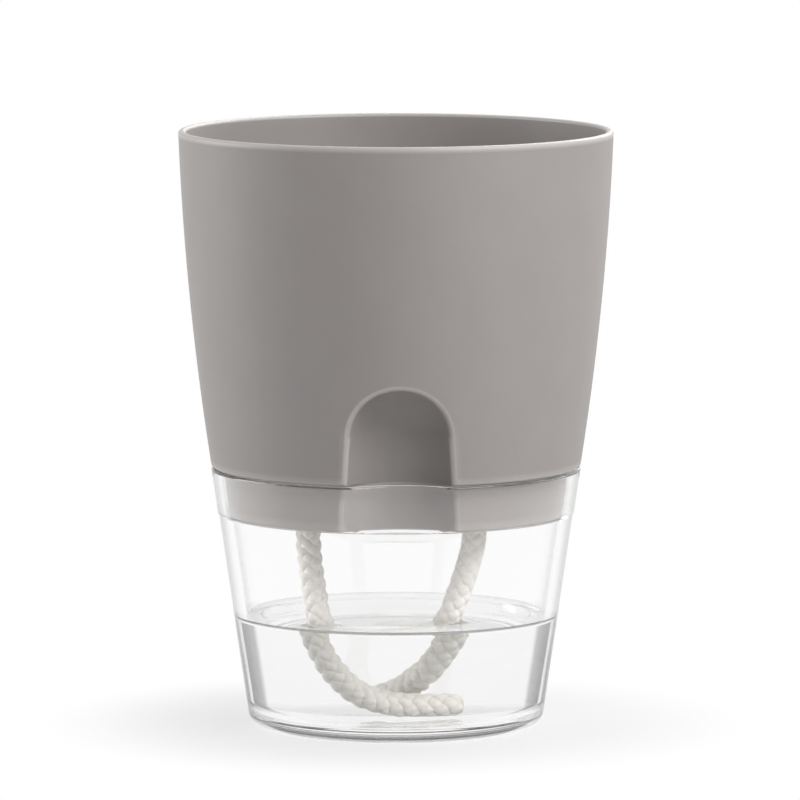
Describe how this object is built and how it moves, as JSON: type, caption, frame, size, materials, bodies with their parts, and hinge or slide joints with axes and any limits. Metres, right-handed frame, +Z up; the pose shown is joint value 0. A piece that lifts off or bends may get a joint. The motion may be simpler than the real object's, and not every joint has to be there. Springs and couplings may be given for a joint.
{
  "type": "self-watering plant pot",
  "caption": "Round tapered plant pot with a scooped filling recess, nested in a clear water reservoir below it, with a braided cotton wick that hangs into the water.",
  "frame": {"origin": "centre of the foot ring on the surface that the reservoir stands on", "axes": "+Z up along the axis of the pot and the reservoir, -Y out of the front through the filling recess"},
  "size_m": [0.1294, 0.1294, 0.178],
  "materials": {
    "clear_plastic": "polished, clear",
    "grey_plastic": "fine matt texture",
    "cotton_rope": "braided, undyed"
  },
  "bodies": {
    "reservoir": {"reservoir": "clear_plastic"},
    "pot": {"pot": "grey_plastic", "wick_loop": "cotton_rope", "wick_front_tail": "cotton_rope", "wick_back_tail": "cotton_rope"}
  },
  "joints": [
    {"name": "pot_lift", "type": "slide", "parent": "reservoir", "child": "pot", "axis": [0, 0, 1], "range_m": [0, 0.09]}
  ]
}
